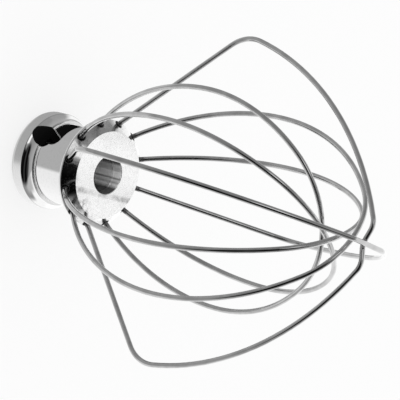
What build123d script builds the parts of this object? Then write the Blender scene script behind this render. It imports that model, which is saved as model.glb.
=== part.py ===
from build123d import *
from math import atan2, cos, degrees, radians, sin, sqrt, tan
import os

# Wire whisk for a stand mixer: a turned hub that carries six bent wire loops.
# Millimetres, +Z along the shaft's axis from the hub's end face towards the tips of the wires.
# The hub's end face, where the shaft goes in, is at Z = 0.

# Shaft and its seat in the hub
SHAFT_DIAMETER = 12.7
SHAFT_CLEARANCE = 0.05
END_CHAMFER = 0.6
FACE_CHAMFER = 0.2

# Hub, a spool: each radius and height is added to the one before it
NECK_WALL = 7.2
NECK_STEP = 0.95
FLANGE_OVERHANG = 2.75
DRUM_OVERHANG = 4.6
FLANGE_BAND = 5.8
COVE_HEIGHT = 3.65
NECK_LENGTH = 16.3
DRUM_BAND = 1.25
BEVEL_WIDTH = 3.5
FLANGE_ROUND = 2.1
NECK_FILLET = 0.5
FLARE_RADIUS = 4.4
EDGE_ROUND = 0.3

# Bayonet for the shaft's drive pin: a groove up the bore, a round window above the flange's band,
# and a slot with round ends from the window round the neck
PIN_GROOVE_WIDTH = 5.4
PIN_GROOVE_DEPTH = 2.6
WINDOW_DIAMETER = 7.9
WINDOW_HEIGHT = 9.5
WINDOW_AZIMUTH = 243.0
PIN_SLOT_WIDTH = 6.2
PIN_SLOT_RISE = 3.7
PIN_SLOT_START = 3.0
PIN_TURN = 60.0

# Wires and their drilled holes, square to the bevel
WIRE_DIAMETER = 1.7
WIRE_CLEARANCE = 0.05
WIRE_LEAN = 44.0
WIRE_LEAD = 1.5
HOLE_INSET = 0.95
HOLE_DEPTH = 5.9
HOLE_END_GAP = 0.1
HOLE_SINK = 0.35

# Rounded wires, from the longest to the shortest: the loop's plane, its lean out of that plane,
# its greatest half width, and the clear gap between its tip and the next longer loop
BALLOON_WIRES = (
    ("balloon_wire_1", -28.6, -0.4, 38.4, 2.6),
    ("balloon_wire_2", -59.0, -0.4, 38.2, 2.7),
    ("balloon_wire_3", 59.5, -0.6, 38.4, 3.6),
    ("balloon_wire_4", 29.3, 2.5, 37.0, 4.1),
)

# Cornered wires, the outer one about square to the inner and crossing over its dent
OUTER_LOOP_HEIGHT = 112.0
CROSSING_GAP = 0.3
CORNER_HALF_WIDTH = 54.9
INNER_FAR_INSET = 0.5
INNER_FAR_EASE = 1.7
EASE_BEND = 6.0
CORNER_BEND = 13.1
CORNER_BASE_RADIUS = 95.5
TIP_BEND = 5.25
TIP_HALF_FLAT = 5.9
DENT_DEPTH = 1.35
DENT_BEND = 4.2
INNER_CORNER_PLANE = 0.0
OUTER_CORNER_PLANE = 88.3

# Sizes that follow from those above
BORE_RADIUS = SHAFT_DIAMETER / 2 + SHAFT_CLEARANCE
NECK_RADIUS = BORE_RADIUS + NECK_WALL
SHOULDER_RADIUS = NECK_RADIUS + NECK_STEP
FLANGE_RADIUS = NECK_RADIUS + FLANGE_OVERHANG
DRUM_RADIUS = NECK_RADIUS + DRUM_OVERHANG
FACE_RADIUS = DRUM_RADIUS - BEVEL_WIDTH
BEVEL_HEIGHT = BEVEL_WIDTH * tan(radians(WIRE_LEAN))
FLANGE_HEIGHT = FLANGE_BAND + COVE_HEIGHT
DRUM_BACK = FLANGE_HEIGHT + NECK_LENGTH
BEVEL_FOOT = DRUM_BACK + DRUM_BAND
HUB_LENGTH = BEVEL_FOOT + BEVEL_HEIGHT
HOLE_MOUTH = (DRUM_RADIUS - HOLE_INSET, BEVEL_FOOT + HOLE_INSET * tan(radians(WIRE_LEAN)))
WIRE_SEAT = HOLE_DEPTH - HOLE_END_GAP


def hub_profile():
    """Half section of the hub, before the holes: flange, cove, neck, flare, drum and bevel."""
    cove_drop = FLANGE_RADIUS - SHOULDER_RADIUS
    cove_turn = 2 * atan2(cove_drop, COVE_HEIGHT)
    cove_radius = COVE_HEIGHT / sin(cove_turn)
    flare = min(FLARE_RADIUS, DRUM_OVERHANG - EDGE_ROUND, NECK_LENGTH - NECK_FILLET)
    with BuildSketch() as section:
        with BuildLine():
            Polyline(
                (SHOULDER_RADIUS, FLANGE_HEIGHT),
                (NECK_RADIUS, FLANGE_HEIGHT),
                (NECK_RADIUS, DRUM_BACK),
                (DRUM_RADIUS, DRUM_BACK),
                (DRUM_RADIUS, BEVEL_FOOT),
                (FACE_RADIUS, HUB_LENGTH),
                (BORE_RADIUS, HUB_LENGTH),
                (BORE_RADIUS, 0),
                (FLANGE_RADIUS, 0),
                (FLANGE_RADIUS, FLANGE_BAND),
            )
            JernArc((SHOULDER_RADIUS, FLANGE_HEIGHT), (0, -1), cove_radius, degrees(cove_turn))
        make_face()

        def corner(radius, height):
            return section.vertices().sort_by_distance((radius, height))[0]

        fillet(corner(FLANGE_RADIUS, 0), FLANGE_ROUND)
        fillet(corner(FLANGE_RADIUS, FLANGE_BAND), EDGE_ROUND)
        fillet(corner(SHOULDER_RADIUS, FLANGE_HEIGHT), EDGE_ROUND)
        fillet(corner(NECK_RADIUS, FLANGE_HEIGHT), min(NECK_FILLET, NECK_STEP - EDGE_ROUND))
        fillet(corner(NECK_RADIUS, DRUM_BACK), flare)
        fillet(corner(DRUM_RADIUS, DRUM_BACK), EDGE_ROUND)
        chamfer(corner(BORE_RADIUS, 0), END_CHAMFER)
        chamfer(corner(BORE_RADIUS, HUB_LENGTH), FACE_CHAMFER)
    return section.sketch


def pin_bayonet():
    """Room for the drive pin: up the groove under the band, out at the window, and round in the slot."""
    low = (Align.MIN, Align.CENTER, Align.MIN)
    groove = Rot(0, 0, WINDOW_AZIMUTH) * Box(BORE_RADIUS + PIN_GROOVE_DEPTH, PIN_GROOVE_WIDTH, WINDOW_HEIGHT, align=low)

    def drilled(azimuth, height, diameter):
        outward = Pos(0, 0, height) * Rot(0, 0, azimuth) * Rot(0, 90, 0)
        return outward * Cylinder(diameter / 2, 2 * FLANGE_RADIUS, align=(Align.CENTER, Align.CENTER, Align.MIN))

    window = drilled(WINDOW_AZIMUTH, WINDOW_HEIGHT, WINDOW_DIAMETER)
    slot_height = WINDOW_HEIGHT + PIN_SLOT_RISE
    slot_start = WINDOW_AZIMUTH - PIN_SLOT_START
    slot_end = WINDOW_AZIMUTH - PIN_TURN
    strip = Pos(0, slot_height) * Rectangle(2 * NECK_RADIUS, PIN_SLOT_WIDTH, align=(Align.MIN, Align.CENTER))
    slot = Rot(0, 0, slot_start) * revolve(Plane.XZ * strip, Axis.Z, slot_end - slot_start)
    round_ends = [drilled(azimuth, slot_height, PIN_SLOT_WIDTH) for azimuth in (slot_start, slot_end)]
    return [groove, window, slot] + round_ends


def loop_place(plane, lean_out):
    """Turns a loop to its plane round the hub, leaning out of it about the line through its two holes."""
    holes = Pos(0, 0, HOLE_MOUTH[1])
    return Rot(0, 0, plane) * holes * Rot(-lean_out, 0, 0) * holes.inverse()


def wire_holes():
    """Two blind countersunk holes in the bevel for each loop, in line with the ends of its wire."""
    radius = WIRE_DIAMETER / 2 + WIRE_CLEARANCE
    with BuildSketch(Plane.XZ) as half_section:
        Polygon((0, -HOLE_DEPTH), (radius, -HOLE_DEPTH), (radius, -HOLE_SINK),
                (radius + 2 * HOLE_SINK, HOLE_SINK), (0, HOLE_SINK), align=None)
    mouth = Pos(HOLE_MOUTH[0], 0, HOLE_MOUTH[1]) * Rot(0, WIRE_LEAN, 0)
    hole = mouth * revolve(half_section.sketch, Axis.Z)
    places = [loop_place(plane, lean_out) for name, plane, lean_out, half_width, gap in BALLOON_WIRES]
    places += [loop_place(plane, 0) for plane in (INNER_CORNER_PLANE, OUTER_CORNER_PLANE)]
    return [place * Rot(0, 0, side) * hole for place in places for side in (0, 180)]


def make_hub():
    hub = revolve(Plane.XZ * hub_profile(), Axis.Z)
    for cut in pin_bayonet() + wire_holes():
        hub -= cut
    return hub


def bent_wire(near_half, pole_bend, far_half):
    """Sweeps the wire along the near half's runs and bends, the bend at the pole, and the far half back.

    A step is (length, 0) for a straight run or (radius, turn in degrees) for a bend; turns are to the left.
    The loop is made in the XZ plane, from its hole on the +X side of the hub, and both halves are
    given from the hole to the pole.
    """
    lean = radians(WIRE_LEAN)
    heading = Vector(sin(lean), cos(lean))
    start = Vector(*HOLE_MOUTH) - heading * WIRE_SEAT
    with BuildLine() as outline:
        for size, turn in near_half + [pole_bend] + far_half[::-1]:
            if turn:
                step = JernArc(start, heading, size, turn)
            else:
                step = Line(start, start + heading * size)
            start = step @ 1
            heading = step % 1
    path = Plane.XZ * outline.wire()
    section = Plane(path @ 0, z_dir=path % 0) * Circle(WIRE_DIAMETER / 2)
    return sweep(section, path=path)


def balloon_wire(half_width, tip):
    """A rounded loop: belly out to the half width, shoulder to forty-five degrees, and a round crown."""
    lean = radians(WIRE_LEAN)
    lead_end = (HOLE_MOUTH[0] + WIRE_LEAD * sin(lean), HOLE_MOUTH[1] + WIRE_LEAD * cos(lean))
    belly = (half_width - lead_end[0]) / (1 - cos(lean))
    rise = tip - lead_end[1] - belly * sin(lean)
    half_turn = 45.0
    low, high = 1 - cos(radians(half_turn)), sin(radians(half_turn))
    shoulder = (high * rise - low * half_width) / (high ** 2 - low ** 2)
    crown = (high * half_width - low * rise) / (high ** 2 - low ** 2)
    half = [(WIRE_SEAT + WIRE_LEAD, 0), (belly, WIRE_LEAN), (shoulder, half_turn)]
    return bent_wire(half, (crown, 2 * half_turn), half)


def cornered_half(top, dent, half_width, ease):
    """Half a cornered loop: a straight side, eased in towards the axis or not, a tight corner, a long
    shallow arc and half of a flat tip, dented or not. Gives its steps and the turn into the dent."""
    lean = radians(WIRE_LEAN - ease)
    hole_lean = radians(WIRE_LEAN)
    lead_end = Vector(*HOLE_MOUTH) + Vector(sin(hole_lean), cos(hole_lean)) * WIRE_LEAD
    eased = Vector(cos(lean) - cos(hole_lean), sin(hole_lean) - sin(lean)) * EASE_BEND
    side_start = lead_end + eased
    side = (half_width - CORNER_BEND * (1 - cos(lean)) - side_start.X) / sin(lean)
    corner_height = side_start.Y + side * cos(lean) + CORNER_BEND * sin(lean)
    corner = Vector(half_width - CORNER_BEND, corner_height)
    tip = Vector(TIP_HALF_FLAT, top - TIP_BEND)
    # The long arc's centre is where both bends touch the arc from inside.
    to_corner = CORNER_BASE_RADIUS - CORNER_BEND
    to_tip = CORNER_BASE_RADIUS - TIP_BEND
    span = tip - corner
    along = (to_corner ** 2 - to_tip ** 2 + span.length ** 2) / (2 * span.length)
    across = Vector(-span.Y, span.X).normalized() * sqrt(to_corner ** 2 - along ** 2)
    centre = corner + span.normalized() * along + across
    corner_angle = atan2(corner.Y - centre.Y, corner.X - centre.X)
    tip_angle = atan2(tip.Y - centre.Y, tip.X - centre.X)
    # The straight run into the dent touches the tip's bend on one side and the dent's on the other.
    dip = run = 0.0
    if dent:
        reach = Vector(0, top - dent + DENT_BEND) - tip
        bends = TIP_BEND + DENT_BEND
        run = sqrt(reach.length ** 2 - bends ** 2)
        dip = atan2(-reach.Y, -reach.X) + atan2(bends, run)
    steps = [(WIRE_SEAT + WIRE_LEAD, 0)]
    if ease:
        steps.append((EASE_BEND, ease))
    steps += [
        (side, 0),
        (CORNER_BEND, degrees(corner_angle + lean)),
        (CORNER_BASE_RADIUS, degrees(tip_angle - corner_angle)),
        (TIP_BEND, 90 - degrees(tip_angle - dip)),
    ]
    if dent:
        steps.append((run, 0))
    return steps, degrees(dip)


def outer_cornered_wire(top):
    half, dip = cornered_half(top, 0, CORNER_HALF_WIDTH, 0)
    return bent_wire(half, (2 * TIP_HALF_FLAT, 0), half)


def inner_cornered_wire(top):
    """The dented loop, whose far side is bent in a little."""
    near, dip = cornered_half(top, DENT_DEPTH, CORNER_HALF_WIDTH, 0)
    far, dip = cornered_half(top, DENT_DEPTH, CORNER_HALF_WIDTH - INNER_FAR_INSET, INNER_FAR_EASE)
    return bent_wire(near, (DENT_BEND, -2 * dip), far)


def make_wires():
    """Every loop at its place round the hub, each tip stacked under the one before it with a clear gap."""
    wires = {}
    tip = HUB_LENGTH + OUTER_LOOP_HEIGHT
    wires["corner_wire_outer"] = loop_place(OUTER_CORNER_PLANE, 0) * outer_cornered_wire(tip)
    tip -= WIRE_DIAMETER + CROSSING_GAP
    wires["corner_wire_inner"] = loop_place(INNER_CORNER_PLANE, 0) * inner_cornered_wire(tip + DENT_DEPTH)
    for name, plane, lean_out, half_width, gap in BALLOON_WIRES:
        tip -= WIRE_DIAMETER + gap
        wires[name] = loop_place(plane, lean_out) * balloon_wire(half_width, tip)
    return wires


os.makedirs("parts", exist_ok=True)
pieces = {"hub": make_hub(), **make_wires()}
for name, piece in pieces.items():
    export_step(piece, f"parts/{name}.step")
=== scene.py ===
from math import cos, radians, sin

import bpy
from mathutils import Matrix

# Looks for a stand mixer wire whisk. Metres, in the frame of the solids:
# the hub stands on its end face at Z = 0 and the wires rise along +Z.

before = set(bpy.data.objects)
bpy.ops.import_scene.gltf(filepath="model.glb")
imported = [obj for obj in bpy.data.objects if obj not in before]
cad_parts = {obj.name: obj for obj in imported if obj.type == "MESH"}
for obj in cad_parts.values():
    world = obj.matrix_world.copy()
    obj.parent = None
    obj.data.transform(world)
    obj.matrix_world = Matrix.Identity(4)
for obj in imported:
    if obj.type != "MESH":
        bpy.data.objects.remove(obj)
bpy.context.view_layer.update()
MM = 0.001

# Sizes of the hub that its finish follows
HUB_LENGTH = 30.38 * MM
FACE_RADIUS = 14.7 * MM
NECK_RADIUS = 13.6 * MM
BORE_RADIUS = 6.4 * MM
BEVEL_FOOT = 27.0 * MM
RIM_MIDDLE = 26.375 * MM
RIM_HALF = 0.625 * MM
RIM_CROWN = 0.2 * MM
FLANGE_CREASE = 5.8 * MM
FLANGE_STEP = 9.45 * MM
NECK_FILLET = 0.6 * MM

# The opening for the shaft's drive pin
WINDOW_AZIMUTH = 243.0
WINDOW_HEIGHT = 9.5 * MM
WINDOW_RADIUS = 3.95 * MM
SLOT_FLOOR = 10.1 * MM
SLOT_TOP = 16.3 * MM
GROOVE_FOOT = 0.9 * MM
LIP_WIDTH = 0.4 * MM
LIP_SHARE = 0.85

# The bore's wall behind that opening, painted dark as shade
BEHIND_AZIMUTH = WINDOW_AZIMUTH - 38.0
BEHIND_START = 2.0 * MM
BEHIND_FULL = 4.0 * MM
BEHIND_TOP = 12.0 * MM
BEHIND_FADE = 3.0 * MM

# The wires' seats: a ring on the bevel, crossed by the plane of each wire
SEAT_RADIUS = 17.25 * MM
SEAT_HEIGHT = 27.92 * MM
WIRE_PLANES = (0.0, 88.3, -28.6, -59.0, 59.5, 29.3)
PIT_REACH = 2.0 * MM
PIT_CORE = 1.45 * MM
PIT_RAGGED = 0.5 * MM
PIT_SHARE = 0.94
# Where each wire goes into the hub, its root is painted dark as shade
ROOT_REACH = 2.2 * MM
ROOT_CORE = 1.3 * MM
ROOT_SHARE = 0.6

# Marks of use on the hub: a smear across the face and blotches at one edge of it
SMEAR_NEAR = 6.5 * MM
SMEAR_FAR = 7.1 * MM
SMEAR_FADE = 1.1 * MM
SMEAR_SLANT = 0.09
BLOTCH_AZIMUTH = 322.0
BLOTCH_START = 10.0 * MM
BLOTCH_FULL = 14.0 * MM
BLOTCH_SCALE = 420.0

# Scoring along the bore, and painted reflections as light and dark stripes along it. Each stripe has its
# start, stop and fade in millimetres, then its grey
SCORE_SCALE = 900.0
SCORE_STRETCH = (1.0, 1.0, 0.03)
STRIPE_AZIMUTH = 8.0
PAINTED_REFLECTION_STRIPES = (
    (-1.3, 0.3, 0.4, 1.0),
    (0.8, 1.0, 0.4, 0.4),
    (2.2, 2.4, 0.5, 0.6),
)
# Painted shade on one side of the bore, then at its sides and its foot
SHADE_START = -1.0 * MM
SHADE_FULL = -1.8 * MM
SHADE_SHARE = 0.6
SIDE_SHADE_START = 3.2 * MM
SIDE_SHADE_FULL = 4.4 * MM
FOOT_SHADE_RISE = 0.3 * MM

# Where the photograph was taken from
CAMERA_PLACE = (0.045277, -0.622715, 0.620971)
CAMERA_TURN = (-16.452, -46.5058, 116.3073)
CAMERA_LENS = 234.0
CAMERA_CLIP = (0.01, 20.0)
SENSOR = 36.0

# The azimuth that the studio's square cards are counted from, near the lens's own
LENS_SIDE = 287.0

# Paper all round, and the sheet under the hub, painted dark as shade inside the hub's foot
PAPER = 1.0
FLOOR_SIZE = 6.0
FLOOR_PAPER = 0.97
PAINTED_SHADE_UNDER_HUB = 0.01
FLOOR_GLOW = 0.985
GLOW_SHARE = 0.75

# Greys of the metals, of what lies on them, and of the shade painted on them
STEEL = 0.66
STEEL_DULL = 0.52
# Painted shade where each wire goes into the hub
WIRE_ROOT_SHADE = 0.03
POLISHED = 0.94
POLISHED_DULL = 0.86
BRUSHED = 0.88
BRUSHED_DULL = 0.62
BRUSHED_SPECK = 0.35
BRUSHED_BLOTCH = 0.2
SATIN = 0.97
SATIN_DULL = 0.88
SATIN_WORN = 0.65
SATIN_SMEAR = 0.4
SATIN_BLOTCH = 0.35
SCORED = 0.98
SCORED_DULL = 0.68
# Painted shade: one side of the bore, black in the pits, the pin opening, its slot and the bore's wall
# behind them, dark at the bore's sides and foot, and along the creases
BORE_SHADE = 0.5
PAINTED_SHADE_BLACK = 0.01
SIDE_AND_FOOT_SHADE = 0.12
FLANGE_DULL_AND_CREASE_SHADE = 0.3

# Roughness of each finish, from its clean places to its worn ones
STEEL_ROUGH = (0.03, 0.08)
POLISHED_ROUGH = (0.03, 0.07)
BRUSHED_ROUGH = (0.1, 0.18)
FLANGE_ROUGH = (0.15, 0.22)
SATIN_ROUGH = (0.2, 0.34)
DULL_ROUGH = 0.25
ROOT_ROUGH = 0.4
PAINTED_SHADE_ROUGH = 0.6

# How metallic the hub's dull places are: the bore, then the worn edge and the fillet
BORE_METALLIC = 0.15
WORN_METALLIC = 0.5

# Fine pitting of the wires and of the hub's face and bevel
WIRE_PITTING = 0.02
WIRE_PIT_DEPTH = 0.01 * MM
HUB_PITTING = 0.2
HUB_PIT_DEPTH = 0.03 * MM


def point_on_sky(azimuth, elevation):
    """A direction by its angle round the shaft's axis and its height, both in degrees."""
    level = cos(radians(elevation))
    return (level * cos(radians(azimuth)), level * sin(radians(azimuth)), sin(radians(elevation)))


def grey(level):
    return (level, level, level, 1.0)


class Bench:
    """Adds nodes to one tree and wires them up by name."""

    def __init__(self, tree):
        self.tree = tree

    def add(self, kind, **settings):
        node = self.tree.nodes.new(kind)
        for key, value in settings.items():
            setattr(node, key, value)
        return node

    def feed(self, socket, value):
        if isinstance(value, bpy.types.NodeSocket):
            self.tree.links.new(value, socket)
        else:
            socket.default_value = value

    def math(self, operation, a, b=0.0, c=0.0):
        node = self.add("ShaderNodeMath", operation=operation)
        for socket, value in zip(node.inputs, (a, b, c)):
            self.feed(socket, value)
        return node.outputs[0]

    def times(self, first, *others):
        for other in others:
            first = self.math("MULTIPLY", first, other)
        return first

    def largest(self, first, *others):
        for other in others:
            first = self.math("MAXIMUM", first, other)
        return first

    def length(self, *parts):
        """The length of a step with these parts at right angles."""
        joined = self.add("ShaderNodeCombineXYZ")
        for socket, value in zip(joined.inputs, parts):
            self.feed(socket, value)
        node = self.add("ShaderNodeVectorMath", operation="LENGTH")
        self.feed(node.inputs[0], joined.outputs[0])
        return node.outputs["Value"]

    def dot(self, a, b):
        node = self.add("ShaderNodeVectorMath", operation="DOT_PRODUCT")
        self.feed(node.inputs[0], a)
        self.feed(node.inputs[1], b)
        return node.outputs["Value"]

    def stretch(self, vector, factors):
        node = self.add("ShaderNodeVectorMath", operation="MULTIPLY")
        self.feed(node.inputs[0], vector)
        self.feed(node.inputs[1], factors)
        return node.outputs["Vector"]

    def split(self, vector):
        node = self.add("ShaderNodeSeparateXYZ")
        self.feed(node.inputs[0], vector)
        return node.outputs

    def ramp(self, value, low, high, to_low=0.0, to_high=1.0):
        """A soft step from to_low to to_high while the value goes from low to high."""
        node = self.add("ShaderNodeMapRange", interpolation_type="SMOOTHSTEP")
        sockets = ("Value", "From Min", "From Max", "To Min", "To Max")
        for name, number in zip(sockets, (value, low, high, to_low, to_high)):
            self.feed(node.inputs[name], number)
        return node.outputs[0]

    def band(self, value, low, high, soft):
        """One inside a range of the value, fading to nothing over the soft margin outside it."""
        return self.times(self.ramp(value, low - soft, low), self.ramp(value, high + soft, high))

    def blend(self, share, a, b):
        node = self.add("ShaderNodeMix", data_type="FLOAT")
        for socket, value in zip((node.inputs[0], node.inputs[2], node.inputs[3]), (share, a, b)):
            self.feed(socket, value)
        return node.outputs[0]

    def tint(self, share, a, b):
        node = self.add("ShaderNodeMix", data_type="RGBA")
        for socket, value in zip((node.inputs[0], node.inputs[6], node.inputs[7]), (share, a, b)):
            self.feed(socket, value)
        return node.outputs[2]

    def noise(self, vector, scale, detail=2.0, rough=0.5):
        node = self.add("ShaderNodeTexNoise")
        for name, value in (("Vector", vector), ("Scale", scale), ("Detail", detail), ("Roughness", rough)):
            self.feed(node.inputs[name], value)
        return node.outputs["Fac"]

    def bump(self, height, strength, distance, over=None):
        """Raises the surface by a height, on top of another bump where one is given."""
        node = self.add("ShaderNodeBump")
        for name, value in (("Height", height), ("Strength", strength), ("Distance", distance)):
            self.feed(node.inputs[name], value)
        if over is not None:
            self.feed(node.inputs["Normal"], over)
        return node.outputs[0]


def studio():
    """White paper all round for the lens, with the grey and dark cards that polished metal mirrors."""
    world = bpy.data.worlds.new("studio")
    bpy.context.scene.world = world
    world.use_nodes = True
    world.cycles.sampling_method = "NONE"
    tree = world.node_tree
    tree.nodes.clear()
    bench = Bench(tree)
    sky = bench.add("ShaderNodeTexCoord").outputs["Generated"]
    height = bench.math("DEGREES", bench.math("ARCSINE", bench.split(sky)[2]))
    sideways = bench.dot(sky, point_on_sky(LENS_SIDE + 90, 0))
    turn = bench.math("DEGREES", bench.math("ARCTAN2", sideways, bench.dot(sky, point_on_sky(LENS_SIDE, 0))))

    def card(azimuth, elevation, reach, softness):
        """A round card: one within its reach of a direction, in degrees."""
        edge = cos(radians(reach + softness)), cos(radians(max(reach - softness, 0)))
        return bench.ramp(bench.dot(sky, point_on_sky(azimuth, elevation)), *edge)

    def pane(left, right, low, high, softness):
        """A square card between two azimuths and two heights, in degrees."""
        wide = bench.band(turn, left - LENS_SIDE + softness, right - LENS_SIDE - softness, 2 * softness)
        return bench.times(wide, bench.band(height, low + softness, high - softness, 2 * softness))

    front_ground = card(285, -45, 42, 32)
    low_ground = card(240, -78, 28, 14)
    back_box = card(85, -8, 30, 12)
    ceiling = bench.ramp(height, 40, 54)
    back_sheet = card(94, 44, 28, 8)
    right_wall = pane(336, 382, -4, 100, 8)
    right_board = pane(318, 362, -28, 20, 10)
    left_wall = pane(142, 240, -55, 100, 8)
    left_board = pane(100, 155, -58, -26, 6)
    front_room = bench.times(card(254, 14.7, 74, 3), bench.ramp(height, -57, -50))
    left_ceiling = pane(180, 258, 55, 90, 5)
    right_ceiling = pane(300, 385, 52, 78, 6)
    front_lamp = pane(220, 250, 37, 54, 3)
    dark_cloth = bench.largest(card(306, 29, 35, 7), card(272, 24, 18, 7), card(290, 48, 18, 5))

    # Wall and room grow darker upwards, and thin grey folds cross the dark cloth.
    wall_grey = bench.ramp(height, -45, 10, 0.41, 0.33)
    room_grey = bench.ramp(height, -45, 10, 0.43, 0.28)
    fold_gap = 26
    fold_shift = -55
    fold_sharpness = 4.0
    fold_grey = 0.045
    cloth_black = 0.003
    folds = bench.math("RADIANS", bench.math("MULTIPLY_ADD", height, 360 / fold_gap, fold_shift))
    folds = bench.math("MULTIPLY_ADD", bench.math("COSINE", folds), 0.5, 0.5)
    folds = bench.math("POWER", folds, fold_sharpness)
    cloth_grey = bench.math("MULTIPLY_ADD", folds, fold_grey, cloth_black)

    # Each area lies over those before it.
    level = PAPER
    for area, shade in (
            (front_ground, 0.87), (low_ground, 0.68), (back_box, 1.2), (ceiling, 0.27), (back_sheet, PAPER),
            (right_wall, 0.3), (right_board, 0.5), (left_wall, wall_grey), (left_board, 0.42),
            (front_room, room_grey), (left_ceiling, 0.38), (right_ceiling, 0.08), (front_lamp, PAPER),
            (dark_cloth, cloth_grey)):
        level = bench.blend(area, level, shade)

    path = bench.add("ShaderNodeLightPath")
    plain = bench.largest(path.outputs["Is Camera Ray"], path.outputs["Is Diffuse Ray"])
    background = bench.add("ShaderNodeBackground")
    bench.feed(background.inputs["Color"], bench.blend(plain, level, PAPER))
    output = bench.add("ShaderNodeOutputWorld")
    tree.links.new(background.outputs[0], output.inputs["Surface"])


def floor():
    """A plain pale sheet under the hub, which takes a faint shadow and is painted dark as shade inside the
    hub's foot.
    """
    bpy.ops.object.select_all(action="DESELECT")
    bpy.ops.mesh.primitive_plane_add(size=FLOOR_SIZE, location=(0, 0, 0))
    sheet = bpy.context.object
    sheet.name = "floor"
    paper = bpy.data.materials.new("floor_paper")
    paper.use_nodes = True
    tree = paper.node_tree
    tree.nodes.clear()
    bench = Bench(tree)
    spot = bench.split(bench.add("ShaderNodeTexCoord").outputs["Object"])
    clear = bench.ramp(bench.length(spot[0], spot[1]), NECK_RADIUS, NECK_RADIUS + MM)
    matt = bench.add("ShaderNodeBsdfDiffuse")
    # Painted shade: inside the hub's foot the sheet is dark
    bench.feed(matt.inputs["Color"], bench.tint(clear, grey(PAINTED_SHADE_UNDER_HUB), grey(FLOOR_PAPER)))
    glow = bench.add("ShaderNodeEmission")
    glow.inputs["Color"].default_value = grey(FLOOR_GLOW)
    path = bench.add("ShaderNodeLightPath")
    mix = bench.add("ShaderNodeMixShader")
    bench.feed(mix.inputs[0], bench.times(path.outputs["Is Camera Ray"], clear, GLOW_SHARE))
    tree.links.new(matt.outputs[0], mix.inputs[1])
    tree.links.new(glow.outputs[0], mix.inputs[2])
    output = bench.add("ShaderNodeOutputMaterial")
    tree.links.new(mix.outputs[0], output.inputs["Surface"])
    sheet.data.materials.append(paper)
    sheet.visible_glossy = False


def camera():
    data = bpy.data.cameras.new("camera")
    data.lens = CAMERA_LENS
    data.sensor_width = SENSOR
    data.clip_start, data.clip_end = CAMERA_CLIP
    lens = bpy.data.objects.new("camera", data)
    lens.location = CAMERA_PLACE
    lens.rotation_euler = [radians(angle) for angle in CAMERA_TURN]
    bpy.context.scene.collection.objects.link(lens)
    bpy.context.scene.camera = lens


def effect(name, inputs, outputs):
    """A shader group with the named number inputs and outputs; returns it, its bench and both ends."""
    group = bpy.data.node_groups.new(name, "ShaderNodeTree")
    group.interface.new_socket("Vector", in_out="INPUT", socket_type="NodeSocketVector")
    for socket, start in inputs.items():
        made = group.interface.new_socket(socket, in_out="INPUT", socket_type="NodeSocketFloat")
        made.default_value = start
    for socket in outputs:
        group.interface.new_socket(socket, in_out="OUTPUT", socket_type="NodeSocketFloat")
    bench = Bench(group)
    start = bench.add("NodeGroupInput").outputs
    end = bench.add("NodeGroupOutput").inputs
    return group, bench, start, end


def wear_effect():
    """Marks that handling leaves on bare metal: broad smudges and fine specks."""
    group, bench, start, end = effect(
        "handling_wear",
        {"Smudge Scale": 120.0, "Speck Scale": 1500.0},
        ("Smudge", "Speck"))
    spot = start["Vector"]
    bench.feed(end["Smudge"], bench.noise(spot, start["Smudge Scale"], 4.0, 0.6))
    bench.feed(end["Speck"], bench.noise(spot, start["Speck Scale"], 3.0, 0.6))
    return group


def seat_effect():
    """How far a spot is from the mouth of the nearest wire hole in the bevel, in metres."""
    group, bench, start, end = effect("wire_seats", {}, ("Distance",))
    nearest = 1.0
    height = bench.math("SUBTRACT", bench.split(start["Vector"])[2], SEAT_HEIGHT)
    for plane in WIRE_PLANES:
        along = bench.math("ABSOLUTE", bench.dot(start["Vector"], point_on_sky(plane, 0)))
        across = bench.dot(start["Vector"], point_on_sky(plane + 90, 0))
        away = bench.length(bench.math("SUBTRACT", along, SEAT_RADIUS), across, height)
        nearest = bench.math("MINIMUM", away, nearest)
    bench.feed(end["Distance"], nearest)
    return group


def place(bench, group, spot, **values):
    """Puts a shader group in a material, fed by a spot on the surface; returns its outputs."""
    node = bench.add("ShaderNodeGroup", node_tree=group)
    bench.feed(node.inputs["Vector"], spot)
    for name, value in values.items():
        node.inputs[name.replace("_", " ").title()].default_value = value
    return node.outputs


def metal(name):
    """A bare metal with its nodes cleared for the finish; returns its bench, shader and spot too."""
    material = bpy.data.materials.new(name)
    material.use_nodes = True
    tree = material.node_tree
    tree.nodes.clear()
    bench = Bench(tree)
    shader = bench.add("ShaderNodeBsdfPrincipled")
    shader.inputs["Metallic"].default_value = 1.0
    output = bench.add("ShaderNodeOutputMaterial")
    tree.links.new(shader.outputs[0], output.inputs["Surface"])
    spot = bench.add("ShaderNodeTexCoord").outputs["Object"]
    return material, bench, shader, spot


def drawn_wire_finish(wear, seats):
    """Polished drawn steel with hazy patches, and painted shade where each wire goes into the hub."""
    material, bench, shader, spot = metal("drawn_wire")
    marks = place(bench, wear, spot, smudge_scale=160.0, speck_scale=900.0)
    root = bench.ramp(place(bench, seats, spot)["Distance"], ROOT_REACH, ROOT_CORE)
    steel = bench.tint(bench.ramp(marks["Smudge"], 0.35, 0.7), grey(STEEL), grey(STEEL_DULL))
    # Painted shade on the wire where it goes into the hub
    steel = bench.tint(bench.times(root, ROOT_SHARE), steel, grey(WIRE_ROOT_SHADE))
    bench.feed(shader.inputs["Base Color"], steel)
    haze = bench.ramp(marks["Smudge"], 0.3, 0.75, *STEEL_ROUGH)
    bench.feed(shader.inputs["Roughness"], bench.blend(root, haze, ROOT_ROUGH))
    bench.feed(shader.inputs["Normal"], bench.bump(marks["Speck"], WIRE_PITTING, WIRE_PIT_DEPTH))
    return material


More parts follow.
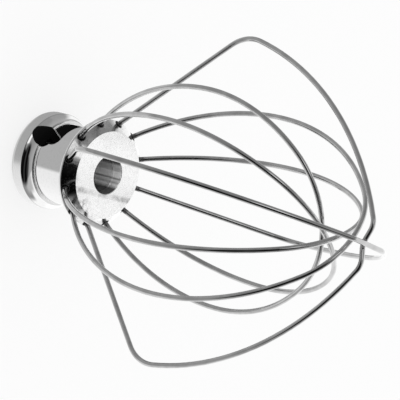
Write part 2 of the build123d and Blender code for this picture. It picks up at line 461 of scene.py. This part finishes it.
class HubPlaces:
    """Masks for the places on the hub that are finished differently: one inside, nothing outside."""

    def __init__(self, bench, spot, speck, seat_distance):
        x, y, z = bench.split(spot)
        radius = bench.length(x, y)
        self.face = bench.times(
            bench.ramp(z, HUB_LENGTH - 0.15 * MM, HUB_LENGTH - 0.05 * MM),
            bench.ramp(radius, FACE_RADIUS + 0.05 * MM, FACE_RADIUS - 0.1 * MM))
        self.bevel = bench.times(
            bench.ramp(z, BEVEL_FOOT, BEVEL_FOOT + 0.1 * MM),
            bench.math("SUBTRACT", 1.0, self.face))
        self.bore = bench.ramp(radius, BORE_RADIUS + 0.08 * MM, BORE_RADIUS + 0.02 * MM)
        self.flange = bench.times(
            bench.ramp(z, FLANGE_CREASE, FLANGE_CREASE - 0.2 * MM),
            bench.ramp(radius, NECK_RADIUS, NECK_RADIUS + MM))
        self.fillet = bench.times(
            bench.band(z, FLANGE_STEP + 0.06 * MM, FLANGE_STEP + NECK_FILLET, 0.05 * MM),
            bench.band(radius, NECK_RADIUS + 0.01 * MM, NECK_RADIUS + NECK_FILLET, 0.01 * MM))
        self.crease = bench.times(
            bench.largest(
                bench.band(z, FLANGE_CREASE - 0.05 * MM, FLANGE_CREASE + 0.05 * MM, 0.25 * MM),
                bench.band(z, FLANGE_STEP - 0.05 * MM, FLANGE_STEP + 0.02 * MM, 0.1 * MM)),
            bench.ramp(radius, BORE_RADIUS + 3 * MM, BORE_RADIUS + 4 * MM))

        # The window, the slot and the bore's wall behind them, painted black as shade, and the worn edge
        # where the two meet, which is left out of that painted shade
        across = bench.dot(spot, point_on_sky(WINDOW_AZIMUTH + 90, 0))
        from_axis = bench.length(across, bench.math("SUBTRACT", z, WINDOW_HEIGHT))
        outward = bench.dot(spot, point_on_sky(WINDOW_AZIMUTH, 0))
        window = bench.times(
            bench.ramp(from_axis, WINDOW_RADIUS + 0.07 * MM, WINDOW_RADIUS + 0.02 * MM),
            bench.ramp(outward, BORE_RADIUS + 0.2 * MM, BORE_RADIUS + 0.5 * MM))
        slot = bench.times(
            bench.band(radius, BORE_RADIUS + 0.1 * MM, NECK_RADIUS - 0.25 * MM, 0.08 * MM),
            bench.band(z, GROOVE_FOOT, SLOT_TOP + 0.3 * MM, 0.2 * MM))
        beside = bench.dot(spot, point_on_sky(BEHIND_AZIMUTH, 0))
        behind = bench.times(
            self.bore,
            bench.ramp(beside, BEHIND_START, BEHIND_FULL),
            bench.ramp(z, BEHIND_TOP, BEHIND_TOP - BEHIND_FADE))
        self.lip = bench.times(
            bench.band(z, SLOT_FLOOR - LIP_WIDTH, SLOT_FLOOR, 0.1 * MM),
            bench.band(from_axis, WINDOW_RADIUS - 0.1 * MM, WINDOW_RADIUS + 0.2 * MM, 0.1 * MM))
        self.painted_recess_shade = bench.times(
            bench.largest(window, slot, behind),
            bench.math("MULTIPLY_ADD", self.lip, -LIP_SHARE, 1.0))

        # Painted shade in ragged pits round the wires
        pit_edge = bench.math("MULTIPLY_ADD", speck, PIT_RAGGED, seat_distance)
        pit = bench.ramp(pit_edge, PIT_REACH, PIT_CORE)
        self.dark = bench.largest(self.painted_recess_shade, bench.times(pit, PIT_SHARE))


def outside_metal(bench, hub, speck):
    """Polished metal, a little duller on the flange, with painted shade in the creases."""
    tone = bench.tint(bench.ramp(speck, 0.45, 0.7, 0.0, 0.5), grey(POLISHED), grey(POLISHED_DULL))
    tone = bench.tint(bench.times(hub.flange, 0.15), tone, grey(FLANGE_DULL_AND_CREASE_SHADE))
    # Painted shade along the creases
    return bench.tint(bench.times(hub.crease, 0.3), tone, grey(FLANGE_DULL_AND_CREASE_SHADE))


def edge_blotches(bench, spot):
    """Cloudy marks on the face and bevel, towards one edge."""
    cloud = bench.ramp(bench.noise(spot, BLOTCH_SCALE, 4.0, 0.65), 0.47, 0.6)
    towards = bench.dot(spot, point_on_sky(BLOTCH_AZIMUTH, 0))
    return bench.times(cloud, bench.ramp(towards, BLOTCH_START, BLOTCH_FULL), 0.7)


def bevel_metal(bench, smudge, speck, blotch):
    """Brushed metal with dull patches, dark specks and blotches."""
    tone = bench.tint(bench.ramp(smudge, 0.42, 0.62), grey(BRUSHED), grey(BRUSHED_DULL))
    tone = bench.tint(bench.ramp(speck, 0.55, 0.7, 0.0, 0.6), tone, grey(BRUSHED_SPECK))
    return bench.tint(blotch, tone, grey(BRUSHED_BLOTCH))


def face_metal(bench, spot, smudge, speck, blotch):
    """Satin metal with specks in its worn patches, one grey smear below the bore, and blotches."""
    x, y = bench.split(spot)[:2]
    aslant = bench.math("MULTIPLY_ADD", y, SMEAR_SLANT, x)
    smear = bench.times(
        bench.band(aslant, SMEAR_NEAR, SMEAR_FAR, SMEAR_FADE),
        bench.ramp(smudge, 0.36, 0.6, 0.25, 1.0),
        bench.ramp(speck, 0.3, 0.7, 0.45, 0.9))
    worn = bench.times(bench.ramp(speck, 0.5, 0.75, 0.0, 0.4), bench.ramp(smudge, 0.4, 0.62))
    tone = bench.tint(bench.ramp(smudge, 0.5, 0.75), grey(SATIN), grey(SATIN_DULL))
    tone = bench.tint(worn, tone, grey(SATIN_WORN))
    tone = bench.tint(smear, tone, grey(SATIN_SMEAR))
    return bench.tint(blotch, tone, grey(SATIN_BLOTCH))


def bore_metal(bench, spot):
    """Dull metal scored along the bore, with painted shade on one side, painted reflections as light and
    dark stripes, and painted shade at its sides and foot.
    """
    z = bench.split(spot)[2]
    score = bench.noise(bench.stretch(spot, SCORE_STRETCH), SCORE_SCALE, 3.0)
    aside = bench.dot(spot, point_on_sky(STRIPE_AZIMUTH, 0))
    # Painted shade on one side of the bore
    shade = bench.ramp(aside, SHADE_START, SHADE_FULL, 0.0, SHADE_SHARE)
    tone = bench.tint(bench.ramp(score, 0.35, 0.65), grey(SCORED), grey(SCORED_DULL))
    tone = bench.tint(shade, tone, grey(BORE_SHADE))
    # Painted reflections: light and dark stripes along the bore
    for start, stop, fade, level in PAINTED_REFLECTION_STRIPES:
        tone = bench.tint(bench.band(aside, start * MM, stop * MM, fade * MM), tone, grey(level))
    # Painted shade at the bore's sides and its foot
    side_and_foot_shade = bench.largest(
        bench.ramp(bench.math("ABSOLUTE", aside), SIDE_SHADE_START, SIDE_SHADE_FULL),
        bench.ramp(z, GROOVE_FOOT + FOOT_SHADE_RISE, GROOVE_FOOT))
    return bench.tint(side_and_foot_shade, tone, grey(SIDE_AND_FOOT_SHADE))


def turned_hub_finish(wear, seats):
    """Turned metal: polished outside, satin face and bevel, scored bore, with painted shade in the pits, the
    pin opening and the creases, and painted shade and reflections in the bore.
    """
    material, bench, shader, spot = metal("turned_hub")
    marks = place(bench, wear, spot, smudge_scale=130.0, speck_scale=1400.0)
    smudge, speck = marks["Smudge"], marks["Speck"]
    hub = HubPlaces(bench, spot, speck, place(bench, seats, spot)["Distance"])
    blotch = edge_blotches(bench, spot)

    colour = outside_metal(bench, hub, speck)
    colour = bench.tint(hub.bevel, colour, bevel_metal(bench, smudge, speck, blotch))
    colour = bench.tint(hub.face, colour, face_metal(bench, spot, smudge, speck, blotch))
    colour = bench.tint(hub.bore, colour, bore_metal(bench, spot))
    # Painted shade: black in the pits, the pin opening, the slot and the bore's wall behind them
    colour = bench.tint(hub.dark, colour, grey(PAINTED_SHADE_BLACK))
    bench.feed(shader.inputs["Base Color"], colour)

    rough = bench.ramp(smudge, 0.3, 0.7, *POLISHED_ROUGH)
    rough = bench.blend(hub.bevel, rough, bench.ramp(smudge, 0.35, 0.65, *BRUSHED_ROUGH))
    rough = bench.blend(hub.flange, rough, bench.ramp(smudge, 0.3, 0.7, *FLANGE_ROUGH))
    rough = bench.blend(hub.face, rough, bench.ramp(speck, 0.3, 0.7, *SATIN_ROUGH))
    rough = bench.blend(bench.largest(hub.bore, hub.fillet), rough, DULL_ROUGH)
    rough = bench.blend(hub.dark, rough, PAINTED_SHADE_ROUGH)
    bench.feed(shader.inputs["Roughness"], rough)

    # Bore, worn edge and fillet are dull, and the black painted as shade in the opening, the slot and the
    # bore behind them is no metal at all.
    bare = bench.blend(hub.bore, 1.0, BORE_METALLIC)
    bare = bench.blend(bench.largest(hub.lip, hub.fillet), bare, WORN_METALLIC)
    bench.feed(shader.inputs["Metallic"], bench.blend(hub.painted_recess_shade, bare, 0.0))
    shader.inputs["Specular IOR Level"].default_value = 0.0

    # The rim of the drum is crowned, and the face and bevel are finely pitted where they are worn.
    across_rim = bench.math("DIVIDE", bench.math("SUBTRACT", bench.split(spot)[2], RIM_MIDDLE), RIM_HALF)
    hollow = bench.math("MINIMUM", bench.math("MULTIPLY", across_rim, across_rim), 1.0)
    rim = bench.bump(hollow, 1.0, -RIM_CROWN)
    pitted = bench.times(speck, bench.largest(hub.face, hub.bevel), bench.ramp(smudge, 0.4, 0.62, 0.4, 1.0))
    bench.feed(shader.inputs["Normal"], bench.bump(pitted, HUB_PITTING, HUB_PIT_DEPTH, rim))
    return material


studio()
floor()
camera()
wear = wear_effect()
seats = seat_effect()
finishes = {
    "wire_steel": drawn_wire_finish(wear, seats),
    "hub_metal": turned_hub_finish(wear, seats),
}
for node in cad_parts.values():
    for slot in node.material_slots:
        slot.material = finishes[slot.material.name.split(".")[0]]

bpy.context.scene.view_settings.view_transform = "Standard"
